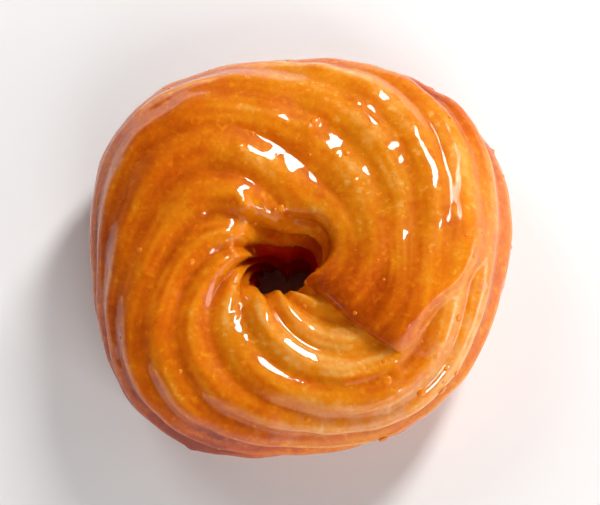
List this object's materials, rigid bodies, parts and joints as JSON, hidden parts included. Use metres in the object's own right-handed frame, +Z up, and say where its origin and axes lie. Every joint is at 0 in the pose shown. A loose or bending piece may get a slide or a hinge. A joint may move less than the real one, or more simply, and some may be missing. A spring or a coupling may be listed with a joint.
{
  "type": "ring-shaped bamieh",
  "caption": "Ring of deep-fried choux dough with winding piped ridges, a lapped seam and a small centre hole, glazed with amber syrup; lies flat on its underside.",
  "frame": {"origin": "middle of the ring's outline, on the surface that it rests on", "axes": "+Z up out of the hole, through the good side; +X right and -Y towards the viewer, with the lapped seam at the lower right seen from above"},
  "size_m": [0.0692, 0.0658, 0.0285],
  "materials": {
    "fried_dough": "deep-fried choux dough soaked in syrup: golden orange on the ridges, browner in the grooves and at the rim, with a wet, mirror-like glaze",
    "syrup": "clear amber sugar syrup in small beads and drips"
  },
  "bodies": {
    "root": {"dough_ring": "fried_dough"}
  },
  "joints": []
}
